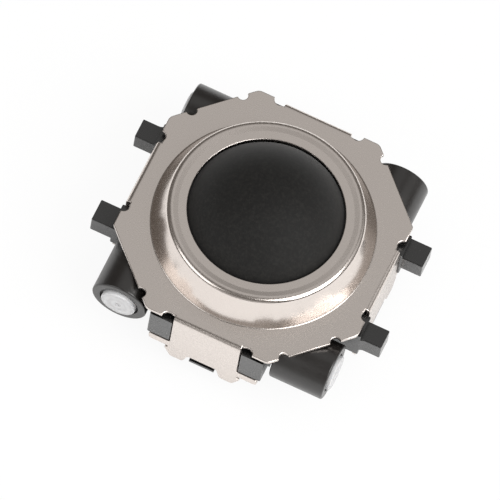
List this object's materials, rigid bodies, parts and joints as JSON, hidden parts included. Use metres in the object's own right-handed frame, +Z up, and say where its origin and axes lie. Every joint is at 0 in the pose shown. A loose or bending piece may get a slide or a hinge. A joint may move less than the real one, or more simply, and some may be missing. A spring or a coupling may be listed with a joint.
{
  "type": "trackball navigation switch",
  "caption": "Small trackball module for a phone: a captive ball in a steel collar turns crossed rollers whose ring magnets are read by the device, and the module presses down to click.",
  "frame": {"origin": "centre of the round flat underside, on the plane that the module stands on", "axes": "+Z up through the ball and out of the collar, +X to the right-hand pegs, +Y to the rear"},
  "size_m": [0.0118, 0.01, 0.0068],
  "materials": {
    "shell": "warm satin nickel over steel, rolled and drawn",
    "ball": "matt black, fine grain",
    "frame": "black moulding, half gloss on its flanks",
    "retainer": "black moulding",
    "seat": "natural white acetal",
    "shaft": "fine turned steel",
    "magnet": "black coated ring magnet, half gloss",
    "hub": "natural white acetal, turned end",
    "bush": "natural white acetal"
  },
  "bodies": {
    "root": {"top_shell": "shell", "base_frame": "frame", "roller_retainer": "retainer", "ball_seat": "seat", "left_magnet_bush": "bush", "left_tail_bush": "bush", "front_magnet_bush": "bush", "front_tail_bush": "bush", "right_magnet_bush": "bush", "right_tail_bush": "bush", "rear_magnet_bush": "bush", "rear_tail_bush": "bush"},
    "ball": {"ball": "ball"},
    "left_roller": {"left_shaft": "shaft", "left_magnet": "magnet", "left_hub": "hub"},
    "front_roller": {"front_shaft": "shaft", "front_magnet": "magnet", "front_hub": "hub"},
    "right_roller": {"right_shaft": "shaft", "right_magnet": "magnet", "right_hub": "hub"},
    "rear_roller": {"rear_shaft": "shaft", "rear_magnet": "magnet", "rear_hub": "hub"}
  },
  "joints": [
    {"name": "ball_roll", "type": "hinge", "parent": "root", "child": "ball", "pos_m": [0, 0, 0.00363], "axis": [1, 0, 0], "continuous": true},
    {"name": "front_roller_spin", "type": "hinge", "parent": "root", "child": "front_roller", "pos_m": [0, -0.00362, 0.00261], "axis": [1, 0, 0], "continuous": true},
    {"name": "rear_roller_spin", "type": "hinge", "parent": "root", "child": "rear_roller", "pos_m": [0, 0.00362, 0.00261], "axis": [1, 0, 0], "continuous": true},
    {"name": "left_roller_spin", "type": "hinge", "parent": "root", "child": "left_roller", "pos_m": [-0.00362, 0, 0.00261], "axis": [0, 1, 0], "continuous": true},
    {"name": "right_roller_spin", "type": "hinge", "parent": "root", "child": "right_roller", "pos_m": [0.00362, 0, 0.00261], "axis": [0, 1, 0], "continuous": true}
  ],
  "couplings": [
    {"joint": "front_roller_spin", "follows": "ball_roll", "ratio": -6.0377},
    {"joint": "rear_roller_spin", "follows": "ball_roll", "ratio": -6.0377},
    {"joint": "right_roller_spin", "follows": "left_roller_spin", "ratio": 1}
  ]
}
